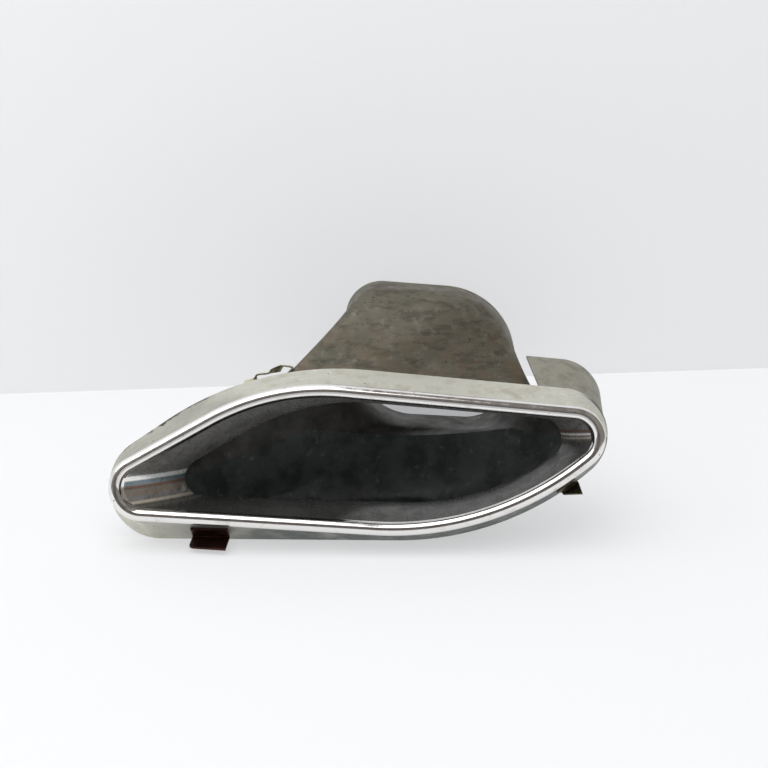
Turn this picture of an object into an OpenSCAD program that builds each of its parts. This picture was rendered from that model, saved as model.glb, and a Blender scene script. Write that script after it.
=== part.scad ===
// Exhaust tip: a drawn trim with a rolled lip, welded to a two-shell duct with an oval inlet.
// +X runs along the mouth to its blunt end, +Y runs back to the inlet and +Z is up, in millimetres.
// The tip lies as it rests on a table: on its lower left clip, its skirt and the floor of its duct.
// Each outline is a chain of four arcs with common tangents: tip, belly, corner and shoulder.

/* [Mouth] */
// Width of the mouth over the lip
mouth_w = 260; // [230:1:300]
// Height of the mouth over the lip
mouth_h = 79.5; // [72:0.5:90]
// Radius of the pointed end
mouth_tip_r = 17.5; // [14:0.5:22]
// Height of the pointed end's centre from the middle of the mouth
mouth_tip_v = -15.5; // [-20:0.5:-8]
// Radius of the blunt corner
mouth_corner_r = 17; // [14:0.5:22]
// Height of the blunt corner's centre from the middle of the mouth
mouth_corner_v = 12; // [6:0.5:16]
// Place of the lower edge's centre along the width
mouth_belly_u = 18; // [8:1:28]
// Radius of the upper edge
mouth_shoulder_r = 126; // [110:1:150]
// Place of the upper edge's centre along the width
mouth_shoulder_u = -17; // [-27:1:-7]
// Angle by which the mouth leans back
lean = 13; // [9:0.5:16]

/* [Trim sheet] */
// Thickness of the trim's sheet
trim_t = 1; // [0.8:0.1:1.3]
// Width of the rolled lip
lip_w = 6.8; // [5.6:0.2:8]
// Depth of the groove between the lip and the skirt
groove_d = 0.8; // [0.5:0.1:1.1]

/* [Skirt] */
// Depth of the skirt behind the front of the lip
skirt_d = 27; // [22:0.5:32]
// Spread of the skirt at each side of the mouth
skirt_spread_u = 3.4; // [2:0.2:6]
// Spread of the skirt above and below the mouth
skirt_spread_v = 6.4; // [4:0.2:9]
// Radius of the skirt's rear edge at the pointed end
skirt_tip_r = 28; // [24:0.5:32]
// Radius of the skirt's rear edge at the blunt corner
skirt_corner_r = 25; // [21:0.5:29]
// Radius of the skirt's upper rear edge
skirt_shoulder_r = 165; // [140:1:190]

/* [Throat] */
// Depth of the throat's rear edge behind the front of the lip
throat_d = 32; // [28:0.5:38]
// Width of the throat at its rear edge
throat_w = 202; // [180:1:214]
// Height of the throat at its rear edge
throat_h = 54; // [46:0.5:60]
// Place of the throat's middle along the width
throat_u = 8; // [2:0.5:12]
// Height of the throat's middle from the middle of the mouth
throat_v = 0.8; // [-2:0.2:3]
// Radius of the throat at the pointed end
throat_tip_r = 10; // [8:0.5:13]
// Radius of the throat at the blunt corner
throat_corner_r = 11; // [9:0.5:14]
// Radius of the throat's upper edge
throat_shoulder_r = 120; // [105:1:145]

/* [Duct] */
// Thickness of the duct's sheet
duct_t = 1.4; // [1.2:0.1:1.8]
// Length of the duct's lap on the throat
lap = 6; // [4:0.5:9]
// Clearance between the throat and the duct that laps it
lap_gap = 0.1; // [0.05:0.05:0.3]
// Drop of the duct's floor below the throat's lower edge
floor_drop = 22; // [18:0.5:28]

/* [Inlet] */
// Width of the inlet neck
neck_w = 98; // [86:1:110]
// Height of the inlet neck
neck_h = 82; // [74:1:92]
// Place of the neck's middle along the width
neck_x = 40; // [32:0.5:46]
// Height of the neck's middle above the table
neck_z = 79; // [75:1:86]
// Radius of the neck's upper left corner
neck_top_left_r = 20.6; // [16:0.2:26]
// Radius of the neck's upper right corner
neck_top_right_r = 42; // [34:1:46]
// Radius of the neck's lower left corner
neck_low_left_r = 34; // [26:1:38]
// Radius of the neck's lower right corner
neck_low_right_r = 30; // [24:1:34]
// Distance from the mouth's middle back to the end of the neck
neck_y = 108; // [102:1:120]
// Straight length of the neck
neck_l = 13; // [8:0.5:18]

/* [Clips] */
// Width of the left spring clip
clip_left_w = 20; // [14:0.5:24]
// Width of the right spring clip
clip_right_w = 13; // [10:0.5:16]
// Thickness of a clip's strip
clip_t = 1; // [0.7:0.1:1.4]
// Length of the leg that lies on the skirt
clip_leg = 9; // [7:0.5:11]
// Length of the left clip's sprung leaf at its long side
clip_left_leaf = 16; // [13:0.5:17]
// Length of the right clip's sprung leaf at its long side
clip_right_leaf = 7.5; // [6:0.5:10]
// Angle between the leg and the leaf
clip_angle = 43; // [34:1:44]
// Slant of the leaf's free end
clip_slant = 28; // [12:1:34]
// Play between a bracket or clip and the sheet it lies on
seat_gap = 0.1; // [0.05:0.05:0.2]

/* [Brackets] */
// Thickness of the brackets' sheet
bracket_t = 1.2; // [1:0.1:1.6]
// Reach of the wing behind the skirt
wing_reach = 30; // [22:1:36]
// Rise of the wing over its reach
wing_rise = 8.4; // [5:0.2:10]
// Width of the strap between the skirt and the duct
strap_w = 6; // [4:0.5:8]
// Height of the strap's upturned lug
lug_h = 3.6; // [2.4:0.2:4]

/* [Hidden] */

// Radius of the lip's roll
lip_r = lip_w / 2;
// Height of the mouth's middle above the table
mouth_z = (mouth_h / 2 + skirt_spread_v) * cos(lean) + skirt_d * sin(lean);
// Place of the mouth's middle that puts the part's own middle at zero along Y
mouth_y = (lip_r - lip_r * cos(lean) + (mouth_h / 2 - lip_r) * sin(lean) - neck_y) / 2;

// One chain of arcs from its middle, size, radii and the places of its centres
// The belly's radius makes it run into the corner's arc without a straight
function chain(mid, size, tip_r, corner_r, shoulder_r, tip_v, belly_u, corner_v, shoulder_u) = let (
        low = mid.y - size.y / 2, corner_u = mid.x + size.x / 2 - corner_r,
        a = corner_u - belly_u, b = corner_v - low,
        belly_r = (a * a + b * b - corner_r * corner_r) / (2 * (b - corner_r)))
    [[mid.x - size.x / 2 + tip_r, tip_v, tip_r], [belly_u, low + belly_r, belly_r],
        [corner_u, corner_v, corner_r], [shoulder_u, mid.y + size.y / 2 - shoulder_r, shoulder_r]];

mouth_chain = chain([0, 0], [mouth_w, mouth_h], mouth_tip_r, mouth_corner_r, mouth_shoulder_r,
    mouth_tip_v, mouth_belly_u, mouth_corner_v, mouth_shoulder_u);
skirt_chain = chain([0, 0], [mouth_w + 2 * skirt_spread_u, mouth_h + 2 * skirt_spread_v],
    skirt_tip_r, skirt_corner_r, skirt_shoulder_r,
    mouth_tip_v - 2.5, mouth_belly_u + 3, mouth_corner_v - 0.5, mouth_shoulder_u + 7);
throat_chain = chain([throat_u, throat_v], [throat_w, throat_h],
    throat_tip_r, throat_corner_r, throat_shoulder_r,
    mouth_tip_v + 2, mouth_belly_u + 9.5, mouth_corner_v - 3, mouth_shoulder_u + 17);
// The neck's corners run counter-clockwise from the lower right one, each a centre and a radius
neck_left = neck_x - neck_w / 2;
neck_right = neck_x + neck_w / 2;
neck_top = neck_z + neck_h / 2;
neck_low = neck_z - neck_h / 2;
neck_corners = [
    [neck_right - neck_low_right_r, neck_low + neck_low_right_r, neck_low_right_r],
    [neck_right - 2 - neck_top_right_r, neck_top - 2.5 - neck_top_right_r, neck_top_right_r],
    [neck_left + neck_top_left_r, neck_top - neck_top_left_r, neck_top_left_r],
    [neck_left + 5 + neck_low_left_r, neck_low + 1.5 + neck_low_left_r, neck_low_left_r]
];

// Direction of the common tangent's normal from one arc to the next
function tangent(a, b) = (720 + atan2(b.y - a.y, b.x - a.x)
    - acos(max(-1, min(1, (a[2] - b[2]) / norm([b.x - a.x, b.y - a.y]))))) % 360;
function arc(c, off, a, b, n) = [for (k = [0:n]) let (t = a + (b - a) * k / n)
    [c.x + (c[2] + off) * cos(t), c.y + (c[2] + off) * sin(t)]];
function between(p, q, n) = [for (k = [1:n - 1]) p + (q - p) * k / n];
function last(list) = list[len(list) - 1];

// The outline from the right end over the top to the left end, and back along the bottom
function over(c, off) = let (
        t2 = tangent(c[2], c[3]), t3 = tangent(c[3], c[0]),
        a = arc(c[2], off, 0, t2, 7), b = arc(c[3], off, t2, t3, 9), d = arc(c[0], off, t3, 180, 5))
    concat(a, between(last(a), b[0], 3), b, between(last(b), d[0], 6), d);
function under(c, off) = let (
        t0 = tangent(c[0], c[1]), t1 = tangent(c[1], c[2]),
        a = arc(c[0], off, 180, t0, 7), b = arc(c[1], off, t0, t1, 10), d = arc(c[2], off, t1, 360, 5))
    concat(a, between(last(a), b[0], 7), b, [for (k = [1:len(d) - 1]) d[k]]);
function rim(c, off) = let (a = over(c, off), b = under(c, off))
    concat(a, [for (k = [1:len(b) - 2]) b[k]]);

// A line of points taken again at n even steps of its length
function run(line) = [for (k = 0, d = 0; k < len(line); d = d + (k + 1 < len(line) ?
    norm(line[k + 1] - line[k]) : 0), k = k + 1) d];
function even(line, n) = let (d = run(line),
        tx = [for (k = [0:len(d) - 1]) [d[k], line[k].x]], ty = [for (k = [0:len(d) - 1]) [d[k], line[k].y]])
    [for (k = [0:n - 1]) let (at = last(d) * k / (n - 1)) [lookup(at, tx), lookup(at, ty)]];

top_n = len(over(mouth_chain, 0));
all_n = len(rim(mouth_chain, 0));

function mix(a, b, s) = a + (b - a) * s;
function blend(p, q, s) = [for (k = [0:len(p) - 1]) mix(p[k], q[k], s)];
// From the mouth's own plane and depth to the part's frame
function seat(p, w) = [p.x, mouth_y + w * cos(lean) + p.y * sin(lean), mouth_z + p.y * cos(lean) - w * sin(lean)];
function seat_all(ring, w) = [for (p = ring) seat(p, w)];

// The trim's rings: the skirt, the roll of the lip and the throat
function skirt_ring(s, off) = let (w = mix(lip_w + 0.6, skirt_d, s))
    seat_all(blend(rim(mouth_chain, off - groove_d / 2), rim(skirt_chain, off), s), w);
function lip_ring(r, a) = seat_all(rim(mouth_chain, -lip_r + r * cos(a)), lip_r - r * sin(a));
function ease(s) = 1 - pow(1 - s, 1.5);
function throat_flat(w, off) = let (s = (w - lip_r) / (throat_d - lip_r))
    blend(rim(mouth_chain, -lip_w + off), rim(throat_chain, off), ease(s));
function throat_ring(w, off) = seat_all(throat_flat(w, off), w);

throat_steps = [0.12, 0.26, 0.42, 0.58, 0.74, 0.88, 1];
trim_rings = concat(
    [for (s = [1, 0.66, 0.33, 0]) skirt_ring(s, 0)],
    [for (a = [-40:20:180]) lip_ring(lip_r, a)],
    [for (s = throat_steps) throat_ring(mix(lip_r, throat_d, s), 0)],
    [for (k = [6:-1:0]) throat_ring(mix(lip_r, throat_d, throat_steps[k]), trim_t)],
    [for (a = [180:-40:-20]) lip_ring(lip_r - trim_t, a)],
    [for (s = [0, 0.33, 0.66, 1]) skirt_ring(s, -trim_t)]
);

// A closed sheet whose rings close on themselves in both directions
module ring_solid(rings) {
    n = len(rings[0]);
    m = len(rings);
    polyhedron(
        points = [for (r = rings) for (p = r) p],
        faces = [for (i = [0:m - 1]) for (j = [0:n - 1]) let (
                a = i * n + j, b = i * n + (j + 1) % n,
                c = ((i + 1) % m) * n + (j + 1) % n, d = ((i + 1) % m) * n + j)
            each [[a, c, b], [a, d, c]]]);
}

module trim() {
    color([0.72, 0.70, 0.66]) ring_solid(trim_rings);
}

// The duct is one grid of points, cut along its seam into the two shells
seam_row = 10;
neck_row = 14;
last_row = 15;
seam_t = 0.62;
// Where the neck's rim passes from the upper curves to those over the lower shell
neck_split_left = 215;
neck_split_right = -50;

axial = [0, cos(lean), -sin(lean)];

function split(b, t) = let (
        q1 = mix(b[0], b[1], t), r = mix(b[1], b[2], t), s3 = mix(b[2], b[3], t),
        q2 = mix(q1, r, t), s2 = mix(r, s3, t))
    [q1, q2, mix(q2, s2, t), s2, s3];
function bezier(b, t) = mix(mix(mix(b[0], b[1], t), mix(b[1], b[2], t), t),
    mix(mix(b[1], b[2], t), mix(b[2], b[3], t), t), t);

// off is 0 on the duct's inner face and duct_t on its outer face
function lap_ring(w, off) = throat_ring(w, trim_t + lap_gap + off);
function neck_rim(off) = let (c = neck_corners, o = off - duct_t,
        t = [for (k = [0:3]) tangent(c[k], c[(k + 1) % 4])],
        above = concat(arc(c[0], o, neck_split_right, t[0], 5), arc(c[1], o, t[0], t[1], 16),
            arc(c[2], o, t[1], t[2], 16), arc(c[3], o, t[2], neck_split_left, 5)),
        below = concat(arc(c[3], o, neck_split_left, t[3], 14), arc(c[0], o, t[3], 360 + neck_split_right, 14)),
        under_n = all_n - top_n + 2, low_line = even(below, under_n))
    concat(even(above, top_n), [for (k = [1:under_n - 2]) low_line[k]]);
function neck_ring(y, off) = [for (p = neck_rim(off)) [p.x, mouth_y + y, p.y]];

function upper_curve(j, a, b) = [a[j], a[j] + axial * 22, b[j] - [0, 30, 0], b[j]];

function duct_grid(off) = let (
        front = lap_ring(throat_d - lap, off), start = lap_ring(throat_d, off),
        neck = neck_ring(neck_y - neck_l, off), end = neck_ring(neck_y, off),
        ends = [split(upper_curve(top_n - 1, start, neck), seam_t), split(upper_curve(0, start, neck), seam_t)])
    [for (j = [0:all_n - 1])
        j < top_n ? let (b = upper_curve(j, start, neck))
            concat([front[j]],
                [for (i = [1:seam_row]) bezier(b, seam_t * (i - 1) / (seam_row - 1))],
                [for (i = [seam_row + 1:neck_row]) bezier(b, mix(seam_t, 1, (i - seam_row) / (neck_row - seam_row)))],
                [end[j]])
        : let (
            f = (j - top_n + 1) / (all_n - top_n + 1), h = sin(180 * f),
            seam = mix(ends[0][2], ends[1][2], f) + [0, 14 * h + off * h, -9 * h],
            b = [start[j], start[j] + mix(ends[0][0] - start[top_n - 1], ends[1][0] - start[0], f) + h * [0, 20, -floor_drop],
                seam + mix(ends[0][1] - ends[0][2], ends[1][1] - ends[1][2], f) + h * [0, 16, -52 - off], seam],
            d = [seam, seam + mix(ends[0][3] - ends[0][2], ends[1][3] - ends[1][2], f), neck[j] - [0, 12, 0], neck[j]])
            concat([front[j]],
                [for (i = [1:seam_row]) bezier(b, (i - 1) / (seam_row - 1))],
                [for (i = [seam_row + 1:neck_row]) bezier(d, (i - seam_row) / (neck_row - seam_row))],
                [end[j]])];

// The pan is pressed flat where it meets the table
function press(grid, low) = [for (c = grid) [for (p = c) [p.x, p.y, max(p.z, low)]]];
inner_grid = press(duct_grid(0), duct_t);
outer_grid = press(duct_grid(duct_t), 0);

function cell(i, j) = j * (last_row + 1) + i;
skin_n = all_n * (last_row + 1);

// Cells of the lower shell are those under the seam; the upper shell has the rest
function is_low(i, j) = j >= top_n - 1 && i < seam_row;

module shell(low) {
    in_shell = [for (j = [0:all_n - 1]) [for (i = [0:last_row - 1]) is_low(i, j) == low]];
    faces = [for (j = [0:all_n - 1]) for (i = [0:last_row - 1]) if (in_shell[j][i]) let (
            k = (j + 1) % all_n, g = (j + all_n - 1) % all_n,
            a = cell(i, j), b = cell(i, k), c = cell(i + 1, k), d = cell(i + 1, j), o = skin_n)
        each concat(
            [[a, c, b], [a, d, c], [o + a, o + b, o + c], [o + a, o + c, o + d]],
            i == 0 || !in_shell[j][i - 1] ? [[a, o + b, o + a], [a, b, o + b]] : [],
            i == last_row - 1 || !in_shell[j][i + 1] ? [[d, o + c, c], [d, o + d, o + c]] : [],
            !in_shell[g][i] ? [[a, o + d, d], [a, o + a, o + d]] : [],
            !in_shell[k][i] ? [[b, o + c, o + b], [b, c, o + c]] : [])];
    points = concat([for (c = inner_grid) each c], [for (c = outer_grid) each c]);
    polyhedron(points = points, faces = faces);
}

module duct_upper() {
    color([0.47, 0.42, 0.36]) shell(false);
}

module duct_lower() {
    color([0.33, 0.34, 0.35]) shell(true);
}

// A sheet between two grids of the same rows and columns
module patch(near, far) {
    rows = len(near);
    cols = len(near[0]);
    o = rows * cols;
    points = concat([for (r = near) each r], [for (r = far) each r]);
    faces = concat(
        [for (i = [0:rows - 2]) for (j = [0:cols - 2]) let (
                a = i * cols + j, b = a + 1, c = a + cols + 1, d = a + cols)
            each [[a, b, c], [a, c, d], [o + a, o + c, o + b], [o + a, o + d, o + c]]],
        [for (j = [0:cols - 2]) let (e = (rows - 1) * cols)
            each [[j, o + j, o + j + 1], [j, o + j + 1, j + 1],
                [e + j, o + e + j + 1, o + e + j], [e + j, e + j + 1, o + e + j + 1]]],
        [for (i = [0:rows - 2]) let (a = i * cols, b = a + cols, e = cols - 1)
            each [[a, b, o + b], [a, o + b, o + a], [a + e, o + b + e, b + e], [a + e, o + a + e, o + b + e]]]);
    polyhedron(points = points, faces = faces);
}

function unit(v) = v / norm(v);
function along(ring, j) = let (k = floor(j)) mix(ring[k], ring[k + 1], j - k);

// Places its children on the skirt's outer face, at station j and share s of its depth
// There x runs along the outline, y to the front and z out of the skirt
module on_skirt(j, s) {
    at = skirt_ring(s, seat_gap);
    p = along(at, j);
    x = unit(at[floor(j) + 1] - at[floor(j)]);
    z = unit(cross(x, along(skirt_ring(0, seat_gap), j) - p));
    placed(x, cross(z, x), z, p) children();
}

fold_r = 0.3;

// A strip folded back on itself: a leg on the skirt and a sprung leaf with a slanted end
module clip(clip_w, clip_leaf) {
    color([0.33, 0.20, 0.16]) difference() {
        rotate([90, 0, 90]) linear_extrude(clip_w, center = true) {
            square([clip_leg, clip_t]);
            translate([0, clip_t + fold_r]) rotate(clip_angle)
                translate([0, fold_r]) square([clip_leaf, clip_t]);
            translate([0, clip_t + fold_r]) difference() {
                circle(clip_t + fold_r, $fn = 32);
                circle(fold_r, $fn = 32);
                rotate(-90) square(2 * (clip_t + fold_r) + 1);
                square(2 * (clip_t + fold_r) + 1);
                rotate(clip_angle) square(2 * (clip_t + fold_r) + 1);
            }
        }
        translate([clip_w / 2, (clip_leaf + fold_r) * cos(clip_angle) + 1, clip_t + fold_r]) rotate(clip_slant)
            translate([-2 * clip_w, 0, 0]) cube([3 * clip_w, clip_leaf, 2 * clip_leaf]);
    }
}

clip_left_at = top_n + 7.66;
clip_right_at = top_n + 21.65;
clip_depth = 0.68;
module clip_left() {
    on_skirt(clip_left_at, clip_depth) clip(clip_left_w, clip_left_leaf);
}
module clip_right() {
    on_skirt(clip_right_at, clip_depth) clip(clip_right_w, clip_right_leaf);
}

// The wing lies inside the skirt and reaches straight back from it
wing_end = 7.38;
wing_fan = 0.16;
function wing_line(ring, end) = concat([for (j = [1:7]) ring[j]], [along(ring, end)]);
function wing_rows(off) = let (edge = skirt_ring(1, off))
    [wing_line(skirt_ring(0.5, off), wing_end),
        for (k = [0:3]) [for (p = wing_line(edge, wing_end + wing_fan * k / 3))
            p + [0, wing_reach, wing_rise] * k / 3]];
module wing() {
    color([0.50, 0.49, 0.44])
        patch(wing_rows(-trim_t - seat_gap), wing_rows(-trim_t - seat_gap - bracket_t));
}

// The strap: a tongue inside the skirt, a stepped band and a pad on the duct's upper shell
tongue_at = 15;
tongue_w = 7;
tongue_lap = 9;
pad_j = 22;
pad_i = 9;
pad_l = 5;

lean_up = [0, sin(lean), cos(lean)];
tongue_edge = along(skirt_ring(1, -trim_t - seat_gap), tongue_at);
// The duct's outer face where the pad lies on it, with x up the dome, y to the back and z out
duct_face = duct_grid(duct_t + seat_gap);
pad_at = duct_face[pad_j][pad_i];
pad_z = unit(cross(duct_face[pad_j - 1][pad_i] - pad_at, duct_face[pad_j][pad_i + 1] - pad_at));
pad_y = unit(axial - (axial * pad_z) * pad_z);
pad_x = cross(pad_y, pad_z);
// The band runs straight from the tongue to the pad in a plane square to the mouth's
strap_h = (pad_at - tongue_edge) * lean_up;
strap_l = norm(pad_at - tongue_edge - strap_h * lean_up);
strap_x = (pad_at - tongue_edge - strap_h * lean_up) / strap_l;
strap_y = cross(lean_up, strap_x);
strap_steps = [[-0.05, -1], [0.02, 0.4], [0.1, 4.5], [0.4, 4.6], [0.74, strap_h + 1.2], [1.2, strap_h]];

module placed(x, y, z, p) {
    multmatrix([[x.x, y.x, z.x, p.x], [x.y, y.y, z.y, p.y], [x.z, y.z, z.z, p.z], [0, 0, 0, 1]]) children();
}

module strap() {
    top = [for (p = strap_steps) [p.x * strap_l, p.y]];
    color([0.45, 0.43, 0.33]) {
        on_skirt(tongue_at, 0.99) translate([-tongue_w / 2, 0, -trim_t - 2 * seat_gap - bracket_t])
            cube([tongue_w, tongue_lap, bracket_t]);
        difference() {
            placed(strap_x, strap_y, lean_up, tongue_edge) rotate([90, 0, 0]) {
                linear_extrude(strap_w, center = true)
                    polygon(concat(top, [for (k = [5:-1:0]) top[k] + [0.4, -bracket_t]]));
                translate([0, 0, strap_w / 2 - bracket_t]) linear_extrude(bracket_t)
                    polygon([top[3], top[4], top[4] + [lug_h, -bracket_t], top[4] + [0, -lug_h], top[3] + [1, -bracket_t]]);
            }
            placed(pad_x, pad_y, pad_z, pad_at) translate([-20, -20, -20]) cube([40, 40, 20]);
        }
        placed(pad_x, pad_y, pad_z, pad_at) translate([-pad_l, -strap_w / 2, 0])
            cube([pad_l, strap_w, bracket_t]);
    }
}

trim();
duct_upper();
duct_lower();
clip_left();
clip_right();
wing();
strap();
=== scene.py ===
"""The looks of an exhaust tip that lies on a pale table. Sizes are in millimetres until a mesh is made."""
import math

import bpy
import numpy as np
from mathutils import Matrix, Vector


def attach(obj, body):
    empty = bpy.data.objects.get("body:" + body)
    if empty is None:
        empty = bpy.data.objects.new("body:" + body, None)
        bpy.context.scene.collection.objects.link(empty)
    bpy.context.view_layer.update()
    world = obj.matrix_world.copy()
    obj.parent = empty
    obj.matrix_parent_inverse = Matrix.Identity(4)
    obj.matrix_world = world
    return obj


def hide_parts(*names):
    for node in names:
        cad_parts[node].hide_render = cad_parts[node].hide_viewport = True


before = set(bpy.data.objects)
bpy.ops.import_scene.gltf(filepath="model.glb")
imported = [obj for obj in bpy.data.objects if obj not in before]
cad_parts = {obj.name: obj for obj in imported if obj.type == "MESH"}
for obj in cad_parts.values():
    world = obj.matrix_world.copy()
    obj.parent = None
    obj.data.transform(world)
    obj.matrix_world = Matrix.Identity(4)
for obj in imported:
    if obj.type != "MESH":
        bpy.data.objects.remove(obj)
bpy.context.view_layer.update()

# The camera stands where the photograph was taken from
cam = bpy.data.objects.new("camera", bpy.data.cameras.new("camera"))
bpy.context.scene.collection.objects.link(cam)
cam.location = (0.03148, -0.95144, 0.37934)
cam.rotation_euler = (math.radians(90 - 17.61), 0, math.radians(1.07))
cam.data.lens = 86.37
cam.data.sensor_width = 36
cam.data.clip_start = 0.01
bpy.context.scene.camera = cam

# The outlines are the source's own chains of arcs, in FINE times as many steps
FINE = 6
MOUTH_SIZE = (260, 79.5)
SKIRT_SIZE = (266.8, 92.3)
THROAT_SIZE = (202, 54)
THROAT_MID = (8, 0.8)
TRIM_T = 1
LIP_W = 6.8
LIP_R = LIP_W / 2
GROOVE = 0.8
LEAN = math.radians(13)
# Depths behind the mouth's plane
SKIRT_FROM = LIP_W + 0.6
SKIRT_D = 27
THROAT_D = 32
THROAT_EASE = 1.5
# The neck's middle across and up, the distance back to its end, and its straight length
NECK_X = 40
NECK_Z = 79
NECK_Y = 108
NECK_L = 13
# Where the mouth's middle stands in the part's frame
MOUTH_Z = SKIRT_SIZE[1] / 2 * math.cos(LEAN) + SKIRT_D * math.sin(LEAN)
MOUTH_Y = (LIP_R - LIP_R * math.cos(LEAN) + (MOUTH_SIZE[1] / 2 - LIP_R) * math.sin(LEAN) - NECK_Y) / 2


def chain(mid, size, tip_r, corner_r, shoulder_r, tip_v, belly_u, corner_v, shoulder_u):
    """Four tangent arcs, each a centre and a radius: the tip, the belly, the corner and the shoulder."""
    low = mid[1] - size[1] / 2
    corner_u = mid[0] + size[0] / 2 - corner_r
    a, b = corner_u - belly_u, corner_v - low
    belly_r = (a * a + b * b - corner_r * corner_r) / (2 * (b - corner_r))
    return [
        (mid[0] - size[0] / 2 + tip_r, tip_v, tip_r),
        (belly_u, low + belly_r, belly_r),
        (corner_u, corner_v, corner_r),
        (shoulder_u, mid[1] + size[1] / 2 - shoulder_r, shoulder_r),
    ]


MOUTH_CHAIN = chain((0, 0), MOUTH_SIZE, tip_r=17.5, corner_r=17, shoulder_r=126,
                    tip_v=-15.5, belly_u=18, corner_v=12, shoulder_u=-17)
SKIRT_CHAIN = chain((0, 0), SKIRT_SIZE, tip_r=28, corner_r=25, shoulder_r=165,
                    tip_v=-18, belly_u=21, corner_v=11.5, shoulder_u=-10)
THROAT_CHAIN = chain(THROAT_MID, THROAT_SIZE, tip_r=10, corner_r=11, shoulder_r=120,
                     tip_v=-13.5, belly_u=27.5, corner_v=9, shoulder_u=0)


def neck_corner(x, z, r):
    """A corner of radius r whose sides are x and z away from the neck's middle."""
    return (NECK_X + x - math.copysign(r, x), NECK_Z + z - math.copysign(r, z), r)


NECK = [neck_corner(49, -41, 30), neck_corner(47, 38.5, 42), neck_corner(-49, 41, 20.6),
        neck_corner(-44, -39.5, 34)]


def tangent(a, b):
    """The angle in degrees at which a shared tangent touches arcs a and b."""
    gap = math.hypot(b[0] - a[0], b[1] - a[1])
    turn = math.acos(max(-1, min(1, (a[2] - b[2]) / gap)))
    return math.degrees(math.atan2(b[1] - a[1], b[0] - a[0]) - turn) % 360


def arc(c, off, a, b, n):
    t = np.radians(np.linspace(a, b, n * FINE + 1))
    return np.stack([c[0] + (c[2] + off) * np.cos(t), c[1] + (c[2] + off) * np.sin(t)], 1)


def between(p, q, n):
    """The points of a straight stretch, without its ends."""
    s = np.arange(1, n * FINE)[:, None] / (n * FINE)
    return p + (q - p) * s


def over(c, off):
    """The upper half of an outline, from the right corner to the left tip."""
    t2, t3 = tangent(c[2], c[3]), tangent(c[3], c[0])
    a, b, d = arc(c[2], off, 0, t2, 7), arc(c[3], off, t2, t3, 9), arc(c[0], off, t3, 180, 5)
    return np.vstack([a, between(a[-1], b[0], 3), b, between(b[-1], d[0], 6), d])


def under(c, off):
    """The lower half of an outline, from the left tip to the right corner."""
    t0, t1 = tangent(c[0], c[1]), tangent(c[1], c[2])
    a, b, d = arc(c[0], off, 180, t0, 7), arc(c[1], off, t0, t1, 10), arc(c[2], off, t1, 360, 5)
    return np.vstack([a, between(a[-1], b[0], 7), b, d[1:]])


def rim(c, off):
    return np.vstack([over(c, off), under(c, off)[1:-1]])


def even(line, n):
    """n points at equal distances along a line."""
    d = np.concatenate([[0], np.cumsum(np.linalg.norm(np.diff(line, axis=0), axis=1))])
    at = np.linspace(0, d[-1], n)
    return np.stack([np.interp(at, d, line[:, 0]), np.interp(at, d, line[:, 1])], 1)


TOP_N = len(over(MOUTH_CHAIN, 0))
ALL_N = len(rim(MOUTH_CHAIN, 0))


def mix(a, b, s):
    return a + (b - a) * s


def seat(p, w):
    """From the mouth's own plane and depth to the part's frame."""
    p = np.asarray(p, float)
    return np.stack([p[:, 0], MOUTH_Y + w * math.cos(LEAN) + p[:, 1] * math.sin(LEAN),
                     MOUTH_Z + p[:, 1] * math.cos(LEAN) - w * math.sin(LEAN)], 1)


def skirt_ring(s, off):
    """The skirt from its groove, at s = 0, to its rear edge, at s = 1."""
    w = mix(SKIRT_FROM, SKIRT_D, s)
    return seat(mix(rim(MOUTH_CHAIN, off - GROOVE / 2), rim(SKIRT_CHAIN, off), s), w)


def lip_ring(r, a):
    """The rolled lip at angle a round its bead: 0 is out, 90 is front and 180 is in."""
    a = math.radians(a)
    return seat(rim(MOUTH_CHAIN, -LIP_R + r * math.cos(a)), LIP_R - r * math.sin(a))


def throat_ring(w, off):
    """The throat at depth w, which narrows fast behind the lip and slowly at its end."""
    s = (w - LIP_R) / (THROAT_D - LIP_R)
    e = 1 - (1 - s) ** THROAT_EASE if s < 1 else 1
    return seat(mix(rim(MOUTH_CHAIN, -2 * LIP_R + off), rim(THROAT_CHAIN, off), e), w)


def object_of(name, points, faces, slots=None, uv=None):
    """A smooth mesh object in metres, with a material number for each face and a uv for each vertex."""
    mesh = bpy.data.meshes.new(name)
    mesh.from_pydata((np.asarray(points) / 1000).tolist(), [], faces)
    if slots is not None:
        mesh.polygons.foreach_set("material_index", slots)
    mesh.polygons.foreach_set("use_smooth", [True] * len(faces))
    if uv is not None:
        layer = mesh.uv_layers.new(name="unwrap")
        loop_vertex = np.zeros(len(mesh.loops), int)
        mesh.loops.foreach_get("vertex_index", loop_vertex)
        layer.data.foreach_set("uv", np.asarray(uv, float)[loop_vertex].ravel())
    mesh.update()
    obj = bpy.data.objects.new(name, mesh)
    bpy.context.scene.collection.objects.link(obj)
    return obj


def dress(obj, node, *materials):
    """The piece stands for a CAD node: it takes these materials, hangs from the root and hides the node."""
    for m in materials:
        obj.data.materials.append(m)
    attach(obj, "root")
    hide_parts(node)


SOCKETS = {"rough": "Roughness", "metal": "Metallic", "spec": "Specular IOR Level"}


def set_sockets(bsdf, **values):
    for k, v in values.items():
        bsdf.inputs[SOCKETS[k]].default_value = v


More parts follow.
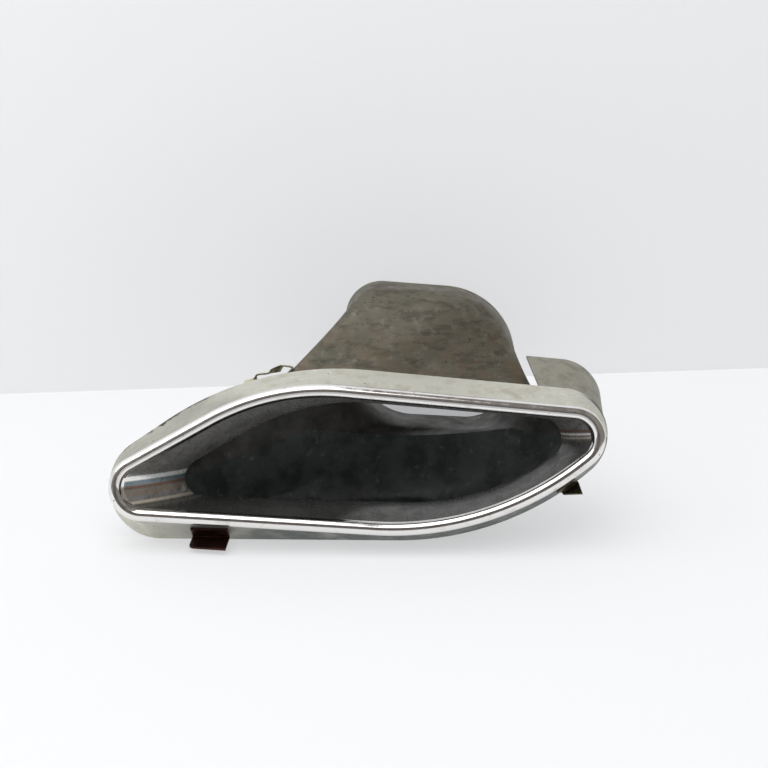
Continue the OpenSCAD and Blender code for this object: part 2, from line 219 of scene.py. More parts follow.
class Paint:
    """A procedural material. Points are in metres in the part's frame."""

    def __init__(self, name, colour, rough, metal=1.0, **rest):
        self.mat = bpy.data.materials.new(name)
        self.mat.use_nodes = True
        self.mat.diffuse_color = (*colour, 1)
        self.tree = self.mat.node_tree
        self.bsdf = self.tree.nodes["Principled BSDF"]
        set_sockets(self.bsdf, rough=rough, metal=metal, **rest)
        self.place = self.node("ShaderNodeTexCoord").outputs["Object"]
        base = self.node("ShaderNodeRGB")
        base.outputs[0].default_value = (*colour, 1)
        self.colour = base.outputs[0]

    def node(self, kind, **settings):
        n = self.tree.nodes.new(kind)
        for k, v in settings.items():
            setattr(n, k, v)
        return n

    def link(self, a, b):
        self.tree.links.new(a, b)

    def stretched(self, scale):
        m = self.node("ShaderNodeMapping")
        m.inputs["Scale"].default_value = scale
        self.link(self.place, m.inputs["Vector"])
        return m.outputs[0]

    def noise(self, scale, detail, rough=0.55, place=None):
        n = self.node("ShaderNodeTexNoise")
        n.inputs["Scale"].default_value = scale
        n.inputs["Detail"].default_value = detail
        n.inputs["Roughness"].default_value = rough
        self.link(place or self.place, n.inputs["Vector"])
        return n.outputs["Fac"]

    def ramp(self, value, a, b, lo=0.0, hi=1.0):
        """From lo at a to hi at b, with soft ends."""
        n = self.node("ShaderNodeMapRange", interpolation_type="SMOOTHSTEP")
        self.link(value, n.inputs["Value"])
        for k, v in (("From Min", a), ("From Max", b), ("To Min", lo), ("To Max", hi)):
            n.inputs[k].default_value = v
        return n.outputs[0]

    def calc(self, op, *values):
        n = self.node("ShaderNodeMath", operation=op)
        for k, v in enumerate(values):
            if isinstance(v, float):
                n.inputs[k].default_value = v
            else:
                self.link(v, n.inputs[k])
        return n.outputs[0]

    def both(self, a, b):
        return self.calc("MULTIPLY", a, b)

    def away(self, value, middle):
        """How far a value is from the middle, to either side."""
        return self.calc("ABSOLUTE", self.calc("SUBTRACT", value, middle))

    def lay(self, colour, mask):
        """Lays a colour over what is there, where mask is 1."""
        n = self.node("ShaderNodeMix", data_type="RGBA")
        self.link(mask, n.inputs["Factor"])
        self.link(self.colour, n.inputs["A"])
        n.inputs["B"].default_value = (*colour, 1)
        self.colour = n.outputs["Result"]

    def specks(self, scale, size, keep):
        """Small scattered spots: near a cell's centre, in a share of the cells."""
        v = self.node("ShaderNodeTexVoronoi")
        v.inputs["Scale"].default_value = scale
        self.link(self.place, v.inputs["Vector"])
        near = self.ramp(v.outputs["Distance"], size, size * 0.5)
        split = self.node("ShaderNodeSeparateColor")
        self.link(v.outputs["Color"], split.inputs[0])
        return self.both(near, self.calc("LESS_THAN", split.outputs[0], keep))

    def height(self):
        n = self.node("ShaderNodeSeparateXYZ")
        self.link(self.place, n.inputs[0])
        return n.outputs[2]

    def unwrap(self):
        """How far round the outline a point is, and how far in from the skirt's rear edge."""
        n = self.node("ShaderNodeSeparateXYZ")
        self.link(self.node("ShaderNodeTexCoord").outputs["UV"], n.inputs[0])
        return n.outputs[0], n.outputs[1]

    def roughness(self, value):
        self.link(value, self.bsdf.inputs["Roughness"])

    def bump(self, height, depth):
        n = self.node("ShaderNodeBump")
        n.inputs["Distance"].default_value = depth
        self.link(height, n.inputs["Height"])
        self.link(n.outputs[0], self.bsdf.inputs["Normal"])

    def done(self):
        self.link(self.colour, self.bsdf.inputs["Base Color"])
        return self.mat


# The painted dark reflection along the lip's front, as a share of the way in from the skirt's rear edge
LIP_MIDDLE = 0.335
# Painted reflection streaks on the throat, bright and dark, in heat-tint colours: from and to as shares of
# the way round, colour and strength
PAINTED_REFLECTION_STREAKS = (
    (0.4640, 0.4860, (0.92, 0.92, 0.90), 0.95),
    (0.4880, 0.5040, (0.16, 0.22, 0.25), 0.85),
    (0.5060, 0.5200, (0.20, 0.10, 0.06), 0.7),
    (0.5230, 0.5480, (0.30, 0.24, 0.17), 0.6),
    (0.5700, 0.5860, (0.62, 0.55, 0.44), 0.85),
    (0.5890, 0.6120, (0.10, 0.10, 0.075), 0.7),
    (0.0010, 0.0080, (0.55, 0.50, 0.42), 0.7),
    (0.0150, 0.0240, (0.85, 0.83, 0.80), 0.9),
    (0.0260, 0.0400, (0.16, 0.08, 0.05), 0.7),
    (0.9880, 0.9990, (0.14, 0.12, 0.09), 0.6),
)


def make_polished():
    """The rolled lip: bright, with fine scratches, a few pits and a painted dark reflection along its front.
    """
    p = Paint("polished_steel", (0.83, 0.82, 0.80), 0.12)
    p.lay((0.62, 0.58, 0.55), p.ramp(p.noise(70, 6, 0.65), 0.52, 0.74))
    p.lay((0.04, 0.035, 0.03), p.specks(300, 0.15, 0.07))
    p.roughness(p.ramp(p.noise(220, 5, 0.7), 0.35, 0.7, 0.07, 0.22))
    p.bump(p.noise(600, 3), 0.00001)
    _, inward = p.unwrap()
    # Painted reflection: a grey line laid along the lip's front face
    p.lay((0.36, 0.35, 0.34), p.ramp(p.away(inward, LIP_MIDDLE), 0.036, 0.012, 0, 0.75))
    return p.done()


def make_throat():
    """The drawn wall behind the lip: semi-bright under soot, with painted reflection streaks in heat-tint
    colours that run in from the lip, and painted shade on its lower half.
    """
    p = Paint("sooted_bright_steel", (0.27, 0.265, 0.25), 0.3, 0.55, spec=0.1)
    u, _ = p.unwrap()
    p.lay((0.17, 0.165, 0.155), p.ramp(p.noise(60, 6, 0.65), 0.42, 0.68))
    p.lay((0.36, 0.355, 0.34), p.ramp(p.noise(150, 7, 0.72), 0.52, 0.72, 0, 0.6))
    streak = p.noise(90, 6, 0.65, p.stretched((6, 0.12, 6)))
    p.lay((0.34, 0.33, 0.31), p.ramp(streak, 0.56, 0.72, 0, 0.55))
    p.lay((0.05, 0.05, 0.048), p.ramp(streak, 0.46, 0.34, 0, 0.6))
    # Painted shade: the lower half of the throat is laid almost black
    low = p.both(p.ramp(u, 0.60, 0.64), p.ramp(u, 1.0, 0.985))
    p.lay((0.045, 0.045, 0.043), p.both(low, p.ramp(p.noise(35, 4), 0.2, 0.8, 0.95, 0.75)))
    # Painted reflections: bright and dark streaks near the tips, coloured like heat tints
    for lo, hi, colour, most in PAINTED_REFLECTION_STREAKS:
        mid, soft = (lo + hi) / 2, (hi - lo) / 2
        p.lay(colour, p.ramp(p.away(u, mid), soft * 1.25, soft * 0.6, 0, most))
    p.lay((0.02, 0.02, 0.02), p.specks(280, 0.13, 0.06))
    p.roughness(p.ramp(p.noise(120, 5, 0.6), 0.3, 0.7, 0.18, 0.34))
    return p.done()


def make_skirt():
    """Blasted steel, a little yellowed, with specks of tar, darker along its rear edge at the upper left and
    upper right, and painted contact shadow low down near its rear edge.
    """
    p = Paint("blasted_steel", (0.60, 0.595, 0.52), 0.46, 0.8)
    u, v = p.unwrap()
    p.lay((0.53, 0.515, 0.44), p.ramp(p.noise(120, 7, 0.7), 0.47, 0.66))
    p.lay((0.78, 0.78, 0.73), p.ramp(p.noise(300, 6, 0.7), 0.56, 0.74))
    p.lay((0.44, 0.40, 0.31), p.ramp(p.noise(40, 6, 0.6), 0.56, 0.70, 0, 0.6))
    # A dark wavy band along the rear edge at the upper left
    rear = p.ramp(p.calc("ADD", v, p.ramp(p.noise(55, 5, 0.7), 0.35, 0.65, 0, 0.024)), 0.024, 0.014)
    left_top = p.both(p.ramp(u, 0.26, 0.30), p.ramp(u, 0.52, 0.46))
    p.lay((0.33, 0.325, 0.285), p.both(left_top, p.ramp(p.noise(50, 5, 0.6), 0.2, 0.7, 0.35, 0.75)))
    p.lay((0.07, 0.05, 0.035), p.both(rear, left_top))
    p.lay((0.10, 0.09, 0.075), p.both(p.ramp(v, 0.022, 0.008), p.ramp(u, 0.10, 0.06)))
    # Painted contact shadow: the lower half of the skirt darker towards its rear edge
    under = p.both(p.ramp(u, 0.60, 0.70), p.ramp(v, 0.085, 0.05))
    p.lay((0.13, 0.14, 0.135), p.both(under, p.ramp(p.noise(45, 5, 0.6), 0.25, 0.5, 0.55, 1.0)))
    p.lay((0.03, 0.025, 0.02), p.specks(260, 0.16, 0.10))
    p.lay((0.06, 0.045, 0.035), p.specks(90, 0.12, 0.14))
    p.roughness(p.ramp(p.noise(160, 5), 0.3, 0.7, 0.40, 0.58))
    p.bump(p.noise(900, 4), 0.00004)
    return p.done()


def make_dome():
    """Brown-grey, heat-stained sheet with drawing marks across it and rust low down."""
    p = Paint("heat_stained_steel", (0.106, 0.098, 0.070), 0.52, 0.4)
    across = p.stretched((0.35, 1, 1.4))
    p.lay((0.058, 0.050, 0.034), p.ramp(p.noise(170, 9, 0.75, across), 0.46, 0.60, 0, 0.85))
    p.lay((0.175, 0.160, 0.125), p.ramp(p.noise(210, 9, 0.78), 0.52, 0.64, 0, 0.8))
    low = p.ramp(p.height(), 0.113, 0.083, 0, 0.7)
    rust = p.both(p.ramp(p.noise(85, 8, 0.75), 0.46, 0.58), low)
    p.lay((0.118, 0.084, 0.048), rust)
    p.lay((0.035, 0.028, 0.020), p.ramp(p.noise(420, 7, 0.75), 0.57, 0.68, 0, 0.8))
    p.lay((0.030, 0.023, 0.017), p.specks(150, 0.13, 0.14))
    p.lay((0.62, 0.60, 0.52), p.specks(62, 0.055, 0.14))
    p.roughness(p.ramp(p.noise(150, 6), 0.3, 0.7, 0.42, 0.62))
    p.bump(p.noise(500, 6, 0.65), 0.00008)
    return p.done()


def make_soot(name, colour, metal=0.25):
    """Dull soot, mottled, with a few pale flecks."""
    rough = 0.5
    p = Paint(name, colour, rough, metal)
    p.lay(tuple(c * 0.5 for c in colour), p.ramp(p.noise(70, 7, 0.65), 0.42, 0.62))
    p.lay(tuple(c * 2.2 for c in colour), p.ramp(p.noise(190, 7, 0.72), 0.56, 0.72))
    p.lay((0.40, 0.40, 0.37), p.specks(75, 0.045, 0.12))
    p.roughness(p.ramp(p.noise(90, 5), 0.3, 0.7, rough - 0.1, rough + 0.14))
    p.bump(p.noise(350, 5), 0.00008)
    return p.done()


def make_bracket(name, colour, stain):
    """Plain bracket steel with stains and small dark specks."""
    p = Paint(name, colour, 0.45, 0.75)
    p.lay(stain, p.ramp(p.noise(160, 7, 0.7), 0.46, 0.64))
    p.lay((0.03, 0.025, 0.02), p.specks(260, 0.14, 0.10))
    p.roughness(p.ramp(p.noise(150, 4), 0.3, 0.7, 0.36, 0.56))
    p.bump(p.noise(700, 4), 0.00004)
    return p.done()


def make_edge():
    p = Paint("cut_edge", (0.80, 0.78, 0.72), 0.25)
    p.lay((0.45, 0.38, 0.27), p.ramp(p.noise(130, 5), 0.48, 0.64))
    return p.done()


polished = make_polished()
throat = make_throat()
blasted = make_skirt()
cut_edge = make_edge()
dome = make_dome()
soot_low = make_soot("soot_in_pan", (0.060, 0.066, 0.064))
soot_high = make_soot("soot_in_dome", (0.050, 0.048, 0.040))
pan_out = make_soot("sooty_steel", (0.10, 0.095, 0.085), 0.6)
back_steel = make_bracket("trim_back_steel", (0.30, 0.29, 0.26), (0.17, 0.15, 0.12))

# The trim: skirt, rolled lip, throat, and back along their inner faces
SKIRT, LIP, THROAT, EDGE, BACK = range(5)
bands = [
    (SKIRT, [skirt_ring(s, 0) for s in np.linspace(1, 0, 9)]),
    (LIP, [lip_ring(LIP_R, a) for a in range(-40, 181, 5)]),
    (THROAT, [throat_ring(mix(LIP_R, THROAT_D, s), 0) for s in np.linspace(0.03, 1, 28)]),
    (BACK, [throat_ring(mix(LIP_R, THROAT_D, s), TRIM_T) for s in np.linspace(1, 0.12, 12)]),
    (BACK, [lip_ring(LIP_R - TRIM_T, a) for a in range(180, -21, -20)]),
    (BACK, [skirt_ring(s, -TRIM_T) for s in (0, 0.33, 0.66, 1)]),
]
rings = np.array([r for _, b in bands for r in b])
band_slot = [k for k, b in bands for _ in b]
band_slot[band_slot.index(BACK) - 1] = EDGE
band_slot[-1] = EDGE
M, N = rings.shape[:2]
faces = [(i * N + j, i * N + (j + 1) % N, ((i + 1) % M) * N + (j + 1) % N, ((i + 1) % M) * N + j)
         for i in range(M) for j in range(N)]
slots = [band_slot[i] for i in range(M) for _ in range(N)]
unwrap = [(j / N, i / M) for i in range(M) for j in range(N)]
trim = object_of("trim_sheet", rings.reshape(-1, 3), faces, slots, unwrap)
dress(trim, "trim", blasted, polished, throat, cut_edge, back_steel)

# The duct: one grid of points, cut along its seam into the two shells
DUCT_T = 1.4
# How far the duct lies inside the throat, and its play there
LAP = 6
THROAT_GAP = 1.1
# Grid rows for each row of the source, and the rows before and behind the seam there
ROWS = 4
LOW_ROWS = 9 * ROWS
HIGH_ROWS = 4 * ROWS
# Share of the way along the duct at which the seam crosses its sides
SEAM_T = 0.62
# Reaches of the curves at the throat and at the neck, above and below
FRONT_REACH = 22
NECK_REACH = 30
FLOOR_BACK = 20
PAN_BACK = 16
PAN_DROP = 52
PAN_NECK_REACH = 12
# The seam's bow below the neck
SEAM_BACK = 14
SEAM_DROP = 9
AXIAL = np.array([0, math.cos(LEAN), -math.sin(LEAN)])
BACKWARD = np.array([0, 1.0, 0])
UPWARD = np.array([0, 0, 1.0])
# Angles at which the neck's outline passes from its upper half to its lower one
NECK_RIGHT = 310
NECK_LEFT = 215


def neck_rim(off):
    """The neck's rounded outline, with as many points as the mouth's in each half."""
    o = off - DUCT_T
    t = [tangent(NECK[k], NECK[(k + 1) % 4]) for k in range(4)]
    above = np.vstack([arc(NECK[0], o, NECK_RIGHT - 360, t[0], 5), arc(NECK[1], o, t[0], t[1], 16),
                       arc(NECK[2], o, t[1], t[2], 16), arc(NECK[3], o, t[2], NECK_LEFT, 5)])
    below = np.vstack([arc(NECK[3], o, NECK_LEFT, t[3], 14), arc(NECK[0], o, t[3], NECK_RIGHT, 14)])
    return np.vstack([even(above, TOP_N), even(below, ALL_N - TOP_N + 2)[1:-1]])


def neck_ring(y, off):
    r = neck_rim(off)
    return np.stack([r[:, 0], np.full(len(r), MOUTH_Y + y), r[:, 1]], 1)


def bezier(b, t):
    t = np.asarray(t)[:, None]
    return ((1 - t) ** 3 * b[0] + 3 * (1 - t) ** 2 * t * b[1] + 3 * (1 - t) * t * t * b[2] + t ** 3 * b[3])


def split(b, t):
    """The handles, the point and the next handles where a curve is cut at t."""
    q1, r, s3 = mix(b[0], b[1], t), mix(b[1], b[2], t), mix(b[2], b[3], t)
    q2, s2 = mix(q1, r, t), mix(r, s3, t)
    return q1, q2, mix(q2, s2, t), s2, s3


def duct_grid(off):
    """Columns run round the duct and rows run back from the throat to the end of the neck."""
    front = throat_ring(THROAT_D - LAP, THROAT_GAP + off)
    start = throat_ring(THROAT_D, THROAT_GAP + off)
    neck = neck_ring(NECK_Y - NECK_L, off)
    end = neck_ring(NECK_Y, off)

    def upper(j):
        return [start[j], start[j] + AXIAL * FRONT_REACH, neck[j] - BACKWARD * NECK_REACH, neck[j]]

    left = split(upper(TOP_N - 1), SEAM_T)
    right = split(upper(0), SEAM_T)
    t_low = np.linspace(0, 1, LOW_ROWS + 1)
    t_high = np.linspace(0, 1, HIGH_ROWS + 1)[1:]
    grid = []
    for j in range(ALL_N):
        if j < TOP_N:
            b = upper(j)
            rows = [bezier(b, SEAM_T * t_low), bezier(b, mix(SEAM_T, 1, t_high))]
        else:
            f = (j - TOP_N + 1) / (ALL_N - TOP_N + 1)
            h = math.sin(math.pi * f)
            seam = mix(left[2], right[2], f) + h * ((SEAM_BACK + off) * BACKWARD - SEAM_DROP * UPWARD)
            out = start[j] + mix(left[0] - start[TOP_N - 1], right[0] - start[0], f)
            out += h * (FLOOR_BACK * BACKWARD - FRONT_REACH * UPWARD)
            into = seam + mix(left[1] - left[2], right[1] - right[2], f)
            into += h * (PAN_BACK * BACKWARD - (PAN_DROP + off) * UPWARD)
            on = seam + mix(left[3] - left[2], right[3] - right[2], f)
            rows = [bezier([start[j], out, into, seam], t_low),
                    bezier([seam, on, neck[j] - BACKWARD * PAN_NECK_REACH, neck[j]], t_high)]
        grid.append(np.vstack([front[j][None], *rows, end[j][None]]))
    return np.array(grid)


inner = duct_grid(0)
outer = duct_grid(DUCT_T)
# The floor is pressed flat where the duct lies on the table
inner[..., 2] = np.maximum(inner[..., 2], DUCT_T)
outer[..., 2] = np.maximum(outer[..., 2], 0)
COLS = inner.shape[0]
LAST = inner.shape[1] - 1
SEAM_ROW = 1 + LOW_ROWS
OUTER, INNER, RIM = range(3)


def shell(name, low):
    """One shell of the duct, with its outer face, inner face and edges."""
    def has(j, i):
        return (j % COLS >= TOP_N - 1 and i < SEAM_ROW) == low

    size = COLS * (LAST + 1)
    faces, slots = [], []
    for j in range(COLS):
        k = (j + 1) % COLS
        for i in range(LAST):
            if not has(j, i):
                continue
            a, b = j * (LAST + 1) + i, k * (LAST + 1) + i
            c, d = b + 1, a + 1
            faces += [(a, d, c, b), (size + a, size + b, size + c, size + d)]
            slots += [INNER, OUTER]
            sides = (((a, b), i > 0 and has(j, i - 1)), ((c, d), i < LAST - 1 and has(j, i + 1)),
                     ((d, a), has(j - 1 + COLS, i)), ((b, c), has(j + 1, i)))
            for (e, g), joined in sides:
                if not joined:
                    faces.append((e, g, size + g, size + e))
                    slots.append(RIM)
    points = np.vstack([inner.reshape(-1, 3), outer.reshape(-1, 3)])
    used = sorted({v for f in faces for v in f})
    renumber = {v: n for n, v in enumerate(used)}
    return object_of(name, points[used], [[renumber[v] for v in f] for f in faces], slots)


upper = shell("duct_upper_shell", False)
dress(upper, "duct_upper", dome, soot_high, pan_out)
lower = shell("duct_lower_shell", True)
dress(lower, "duct_lower", pan_out, soot_low, pan_out)


# The brackets: two folded spring clips, a bent strap and a wing, placed by the source's stations
def along(ring, station):
    """The ring's point at a station, of which each has FINE points here."""
    j = station * FINE
    k = int(j)
    return mix(ring[k], ring[k + 1], j - k)


def unit(v):
    return v / np.linalg.norm(v)


def on_skirt(station, s, off, turn=0):
    """A frame on the skirt: its place, then x round the skirt, y to the mouth and z out of it."""
    ring = skirt_ring(s, off)
    p = along(ring, station)
    x = unit(along(ring, station + 0.5) - along(ring, station - 0.5))
    z = unit(np.cross(x, along(skirt_ring(0, off), station) - p))
    y = np.cross(z, x)
    c = math.cos(math.radians(turn))
    d = math.sin(math.radians(turn))
    return np.array([p, x * c + y * d, y * c - x * d, z])


def placed(at, points):
    return at[0] + np.asarray(points) @ at[1:]


def sheet(grid):
    """Points and faces of a closed sheet from a grid of pairs of points, one on each face."""
    n, m = grid.shape[:2]

    def at(i, j, k):
        return (i * m + j) * 2 + k

    cells = [(i, j) for i in range(n - 1) for j in range(m - 1)]
    faces = [(at(i, j, 0), at(i, j + 1, 0), at(i + 1, j + 1, 0), at(i + 1, j, 0)) for i, j in cells]
    faces += [(at(i, j, 1), at(i + 1, j, 1), at(i + 1, j + 1, 1), at(i, j + 1, 1)) for i, j in cells]
    for j in range(m - 1):
        faces.append((at(0, j, 0), at(0, j, 1), at(0, j + 1, 1), at(0, j + 1, 0)))
        faces.append((at(n - 1, j, 0), at(n - 1, j + 1, 0), at(n - 1, j + 1, 1), at(n - 1, j, 1)))
    for i in range(n - 1):
        faces.append((at(i, 0, 0), at(i + 1, 0, 0), at(i + 1, 0, 1), at(i, 0, 1)))
        faces.append((at(i, m - 1, 0), at(i, m - 1, 1), at(i + 1, m - 1, 1), at(i + 1, m - 1, 0)))
    return grid.reshape(-1, 3), faces


# Sizes of both clips, and their place on the skirt as a share of its depth and a gap
CLIP_T = 1
CLIP_LEG = 9
CLIP_FOLD_R = 0.3
CLIP_RISE = 43
CLIP_DEPTH = 0.68
CLIP_GAP = 0.3


def clip(name, station, turn, w, leaf, slant, corner):
    """A strip folded on itself: a leg on the skirt, then a sprung leaf with a slanted end."""
    rise = math.radians(CLIP_RISE)
    grid = []
    for x in np.linspace(-w / 2, w / 2, 33):
        left = x + w / 2
        size = leaf - (w / 2 - x) * math.tan(math.radians(slant))
        if left < corner:
            size -= corner - math.sqrt(corner ** 2 - (corner - left) ** 2)
        row = [[(x, CLIP_LEG * f, CLIP_T), (x, CLIP_LEG * f, 0)] for f in (1, 0.75, 0.5, 0.25)]
        for a in np.radians(np.linspace(270, 90 + CLIP_RISE, 13)):
            row.append([(x, r * math.cos(a), CLIP_FOLD_R + CLIP_T + r * math.sin(a))
                        for r in (CLIP_FOLD_R, CLIP_FOLD_R + CLIP_T)])
        start = row[-1]
        for d in np.linspace(0, size, 13)[1:]:
            row.append([(x, y + d * math.cos(rise), z + d * math.sin(rise)) for _, y, z in start])
        grid.append(row)
    points, faces = sheet(np.array(grid, float))
    return object_of(name, placed(on_skirt(station, CLIP_DEPTH, CLIP_GAP, turn), points), faces)


# The strap: its station and gap, then the sizes of its band, tongue, pad and lug
STRAP_T = 0.8
STRAP_W = 6
STRAP_AT = 15
STRAP_GAP = 0.3
TONGUE_W = 7
TONGUE_LAP = 9
PAD_L = 4
LUG_H = 3.7
LUG_T = 1.3 * STRAP_T
# Where the pad lies on the dome in the source's grid, and the way out of the sheet there
PAD_AT = (-36.113, 13.476, 81.786)
PAD_OUT = (-0.7075, 0.1295, 0.6947)
# The band's upper face, as shares of the way along the mouth and heights above the tongue
BAND_LINE = ((0, -STRAP_T), (0.035, 1), (0.09, 3.72), (0.14, 4.9), (0.41, 4.9), (0.46, 6.9),
             (0.69, 8.73), (0.86, 8.1), (1.2, 5.6))
# The bends of that line from which the lug hangs
LUG_FROM = 4
LUG_TO = 6


def bent(line):
    """A line with its corners cut twice, so that the bends are round."""
    for _ in range(2):
        inside = [mix(a, b, f) for a, b in zip(line[:-1], line[1:]) for f in (0.2, 0.8)]
        line = np.vstack([line[:1], inside[1:-1], line[-1:]])
    return line


def cut_at_pad(grid, pad_at):
    """Ends each of the band's four long edges where it meets the pad's upper face."""
    height = (grid - pad_at[0]) @ pad_at[3] - STRAP_T
    for c in range(2):
        for k in range(2):
            i = max(n for n in range(len(grid) - 1) if height[n, c, k] > 0)
            h0, h1 = height[i, c, k], height[i + 1, c, k]
            grid[i + 1:, c, k] = mix(grid[i, c, k], grid[i + 1, c, k], h0 / (h0 - h1))


def block(at, lo, hi):
    box = [[[(x, y, z) for z in (hi[2], lo[2])] for y in (lo[1], hi[1])] for x in (lo[0], hi[0])]
    points, faces = sheet(np.array(box, float))
    return placed(at, points), faces


def strap():
    """A tongue inside the skirt, an arched band that runs back to the dome, a lug and a pad."""
    foot_at = on_skirt(STRAP_AT, 1, -TRIM_T - STRAP_GAP)
    pad_z = unit(np.array(PAD_OUT))
    pad_y = unit(AXIAL - (AXIAL @ pad_z) * pad_z)
    pad_at = np.array([PAD_AT, np.cross(pad_y, pad_z), pad_y, pad_z])
    band_at = np.array([foot_at[0], [1, 0, 0], AXIAL, [0, math.sin(LEAN), math.cos(LEAN)]])
    run_x, run_y = (band_at[k] @ (pad_at[0] - foot_at[0]) for k in (1, 2))
    line = np.array(BAND_LINE) * (run_x, 1)

    def ruled(outline, depth):
        """The outline's front edge, which runs back on its way to the pad, and its rear edge."""
        front = [mix(STRAP_T, run_y - STRAP_W / 2, x / run_x) for x, _ in outline]
        return [placed(band_at, [(x, y, z), (x, y + depth, z)]) for (x, z), y in zip(outline, front)]

    band = np.stack([ruled(bent(line), STRAP_W), ruled(bent(line + (0.7 * STRAP_T, -STRAP_T)), STRAP_W)], 2)
    cut_at_pad(band, pad_at)
    end = line[LUG_TO] + (1.5, -1)
    lug = [line[LUG_FROM] - (0, STRAP_T / 2), line[LUG_FROM + 1], line[LUG_TO], end, end + (-1.5, 1 - LUG_H)]
    n = len(lug)
    lug_faces = [tuple(range(0, 2 * n, 2)), tuple(range(2 * n - 1, 0, -2))]
    lug_faces += [(2 * k, 2 * k + 1, (2 * k + 3) % (2 * n), (2 * k + 2) % (2 * n)) for k in range(n)]
    parts = [sheet(band), (np.array(ruled(lug, LUG_T)).reshape(-1, 3), lug_faces),
             block(foot_at, (-TONGUE_W / 2, -STRAP_T - STRAP_W, -STRAP_T), (TONGUE_W / 2, TONGUE_LAP, 0)),
             block(pad_at, (-PAD_L, -STRAP_W / 2, 0), (0, STRAP_W / 2, STRAP_T))]
    points, faces = [], []
    for part_points, part_faces in parts:
        faces += [tuple(v + len(points) for v in f) for f in part_faces]
        points += list(part_points)
    return object_of("strap_bent", points, faces)


# The wing's first and last stations, its fan, its root on the skirt, and its reach and rise behind it
WING_FROM = 1
WING_END = 7.38
WING_FAN = 0.16
WING_ROOT = 0.5
WING_REACH = 30
WING_RISE = 8.4
WING_GAP = 0.1
WING_T = 1.2


def wing():
    """A sheet that lies inside the skirt and reaches straight back from it, fanning out a little."""
    def line(ring, end):
        return np.vstack([ring[WING_FROM * FINE:int(WING_END * FINE) + 1], along(ring, end)])

    def rows(off):
        edge = skirt_ring(1, off)
        reach = np.array([0, WING_REACH, WING_RISE])
        free = [line(edge, WING_END + WING_FAN * k / 3) + reach * k / 3 for k in range(4)]
        return [line(skirt_ring(WING_ROOT, off), WING_END), *free]

    upper_off = -TRIM_T - WING_GAP
    points, faces = sheet(np.stack([rows(upper_off), rows(upper_off - WING_T)], 2))
    return object_of("wing_sheet", points, faces)


brown = make_bracket("clip_left_steel", (0.035, 0.014, 0.010), (0.10, 0.035, 0.02))
olive = make_bracket("clip_right_steel", (0.06, 0.05, 0.03), (0.12, 0.09, 0.05))
yellowed = make_bracket("strap_steel", (0.60, 0.57, 0.42), (0.24, 0.21, 0.11))
grey = make_bracket("wing_steel", (0.30, 0.29, 0.235), (0.23, 0.22, 0.175))
wide_clip = clip("clip_left_spring", 38.68, turn=2, w=20, leaf=17, slant=8, corner=3)
narrow_clip = clip("clip_right_spring", 52.67, turn=12, w=10.5, leaf=10.5, slant=44, corner=0)
bent_strap = strap()
bent_strap.data.polygons.foreach_set("use_smooth", [False] * len(bent_strap.data.polygons))
brackets = ((wide_clip, "clip_left", brown), (narrow_clip, "clip_right", olive),
            (bent_strap, "strap", yellowed), (wing(), "wing", grey))
for obj, node, steel in brackets:
    dress(obj, node, steel)
    bevel = obj.modifiers.new("bevel", "BEVEL")
    bevel.width = 0.00015
    bevel.segments = 2
    bevel.limit_method = "ANGLE"
for obj in (trim, upper, lower, *(b[0] for b in brackets)):
    edge = obj.modifiers.new("edges", "EDGE_SPLIT")
    edge.split_angle = math.radians(50)

# The stage: a pale table and the wall behind it, which turns a little from the camera. Metres from here on
TABLE_GLOW = 0.52
SPOT_GLOW = 0.03
# The shaded spot behind the part that shows through the neck: its middle and its half widths
SPOT_AT = (0.04, 0.19)
SPOT_SIZE = (0.08, 0.06)
STAGE_REACH = 4
WALL_FOOT = Vector((0.0089, 0.2503, 0))
WALL_TURN = math.radians(7.5)


def plain(name, colour, one_sided=True):
    """A dull surface, open from its back so that the other views see through it."""
    m = bpy.data.materials.new(name)
    m.use_nodes = True
    tree = m.node_tree
    b = tree.nodes["Principled BSDF"]
    b.inputs["Base Color"].default_value = (*colour, 1)
    set_sockets(b, rough=0.9, spec=0.2)
    if one_sided:
        side = tree.nodes.new("ShaderNodeNewGeometry")
        clear = tree.nodes.new("ShaderNodeBsdfTransparent")
        join = tree.nodes.new("ShaderNodeMixShader")
        tree.links.new(side.outputs["Backfacing"], join.inputs[0])
        tree.links.new(b.outputs[0], join.inputs[1])
        tree.links.new(clear.outputs[0], join.inputs[2])
        tree.links.new(join.outputs[0], tree.nodes["Material Output"].inputs["Surface"])
    return m


def make_table():
    """The table glows a little, so that shadows stay faint, but not in the spot."""
    m = plain("table", (0.36, 0.362, 0.364))
    tree = m.node_tree
    b = tree.nodes["Principled BSDF"]
    b.inputs["Emission Color"].default_value = (0.985, 0.99, 1.0, 1)
    place = tree.nodes.new("ShaderNodeTexCoord")
    spot = tree.nodes.new("ShaderNodeMapping")
    spot.inputs["Location"].default_value = (-SPOT_AT[0] / SPOT_SIZE[0], -SPOT_AT[1] / SPOT_SIZE[1], 0)
    spot.inputs["Scale"].default_value = (1 / SPOT_SIZE[0], 1 / SPOT_SIZE[1], 1)
    away = tree.nodes.new("ShaderNodeVectorMath")
    away.operation = "LENGTH"
    fade = tree.nodes.new("ShaderNodeMapRange")
    fade.interpolation_type = "SMOOTHSTEP"
    fade.inputs["From Min"].default_value = 0.7
    fade.inputs["From Max"].default_value = 1.1
    fade.inputs["To Min"].default_value = SPOT_GLOW
    fade.inputs["To Max"].default_value = TABLE_GLOW
    tree.links.new(place.outputs["Object"], spot.inputs["Vector"])
    tree.links.new(spot.outputs[0], away.inputs[0])
    tree.links.new(away.outputs["Value"], fade.inputs["Value"])
    tree.links.new(fade.outputs[0], b.inputs["Emission Strength"])
    return m


def panel(name, corners, material):
    mesh = bpy.data.meshes.new(name)
    mesh.from_pydata(corners, [], [tuple(range(len(corners)))])
    mesh.materials.append(material)
    obj = bpy.data.objects.new(name, mesh)
    bpy.context.scene.collection.objects.link(obj)
    return obj


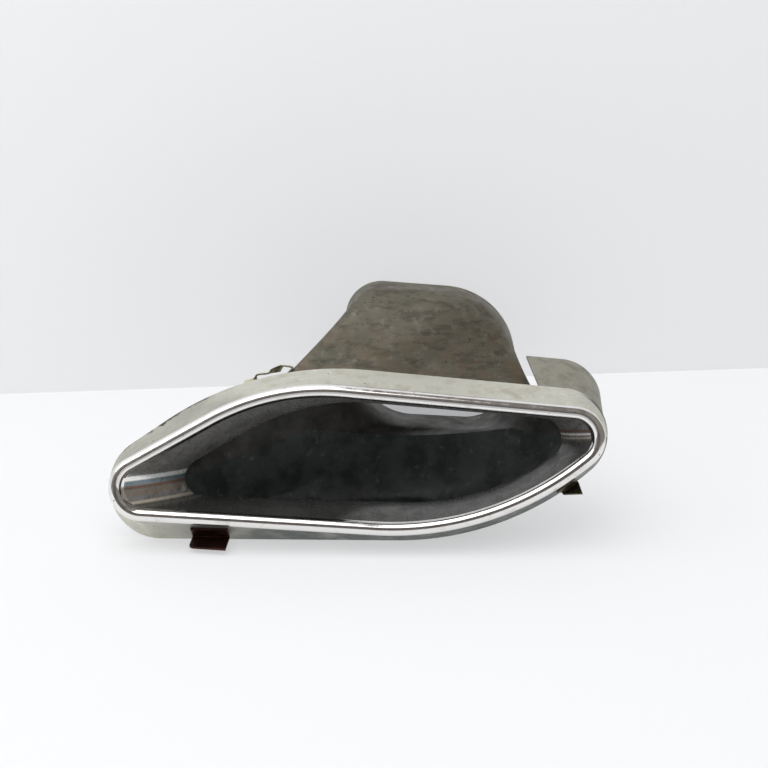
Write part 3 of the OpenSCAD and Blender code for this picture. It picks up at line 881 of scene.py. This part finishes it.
table_corners = [(x * STAGE_REACH, y * STAGE_REACH, 0) for x, y in ((-1, -1), (1, -1), (1, 1), (-1, 1))]
panel("table", table_corners, make_table())
along_wall = Vector((math.cos(WALL_TURN), math.sin(WALL_TURN), 0)) * STAGE_REACH
wall_ends = [WALL_FOOT - along_wall, WALL_FOOT + along_wall]
wall_tops = [p + Vector((0, 0, STAGE_REACH)) for p in reversed(wall_ends)]
panel("wall", wall_ends + wall_tops, plain("wall", (0.82, 0.82, 0.815)))

# Dark cards that only gloss sees: behind the camera, at the right, and over all but the left
card = plain("card", (0.20, 0.18, 0.165), False)
for name, corners in (
    ("card_front", [(-2, -1.25, 0), (2, -1.25, 0), (2, -1.1, 1.1), (-2, -1.1, 1.1)]),
    ("card_right", [(0.55, -1.2, 0), (0.55, 0.2, 0), (0.7, 0.2, 1.1), (0.7, -1.2, 1.1)]),
    ("card_top", [(0.03, -2, 1.6), (2.5, -2, 1.6), (2.5, 0.3, 1.6), (0.03, 0.3, 1.6)]),
):
    obj = panel(name, corners, card)
    obj.visible_camera = False
    obj.visible_diffuse = False
    obj.visible_shadow = False

# One wide lamp above the left, in front of the part
data = bpy.data.lights.new("key", "AREA")
data.shape = "SQUARE"
data.size = 2.2
data.energy = 26
key = bpy.data.objects.new("key", data)
bpy.context.scene.collection.objects.link(key)
key.location = (-0.7, -0.6, 1.5)
key.rotation_euler = (Vector((-0.2, 0, 0)) - key.location).to_track_quat("-Z", "Y").to_euler()

# The room's light is weaker on dull surfaces than in mirrors and behind the part
DULL_LEVEL = 0.72
SEEN_LEVEL = 0.92
world = bpy.data.worlds.new("studio")
bpy.context.scene.world = world
world.use_nodes = True
tree = world.node_tree
sky = tree.nodes["Background"]
sky.inputs["Color"].default_value = (0.95, 0.96, 1.0, 1)
rays = tree.nodes.new("ShaderNodeLightPath")
seen = tree.nodes.new("ShaderNodeMath")
seen.operation = "MAXIMUM"
level = tree.nodes.new("ShaderNodeMapRange")
level.inputs["To Min"].default_value = DULL_LEVEL
level.inputs["To Max"].default_value = SEEN_LEVEL
tree.links.new(rays.outputs["Is Camera Ray"], seen.inputs[0])
tree.links.new(rays.outputs["Is Glossy Ray"], seen.inputs[1])
tree.links.new(seen.outputs[0], level.inputs["Value"])
tree.links.new(level.outputs[0], sky.inputs["Strength"])
bpy.context.scene.view_settings.view_transform = "Standard"
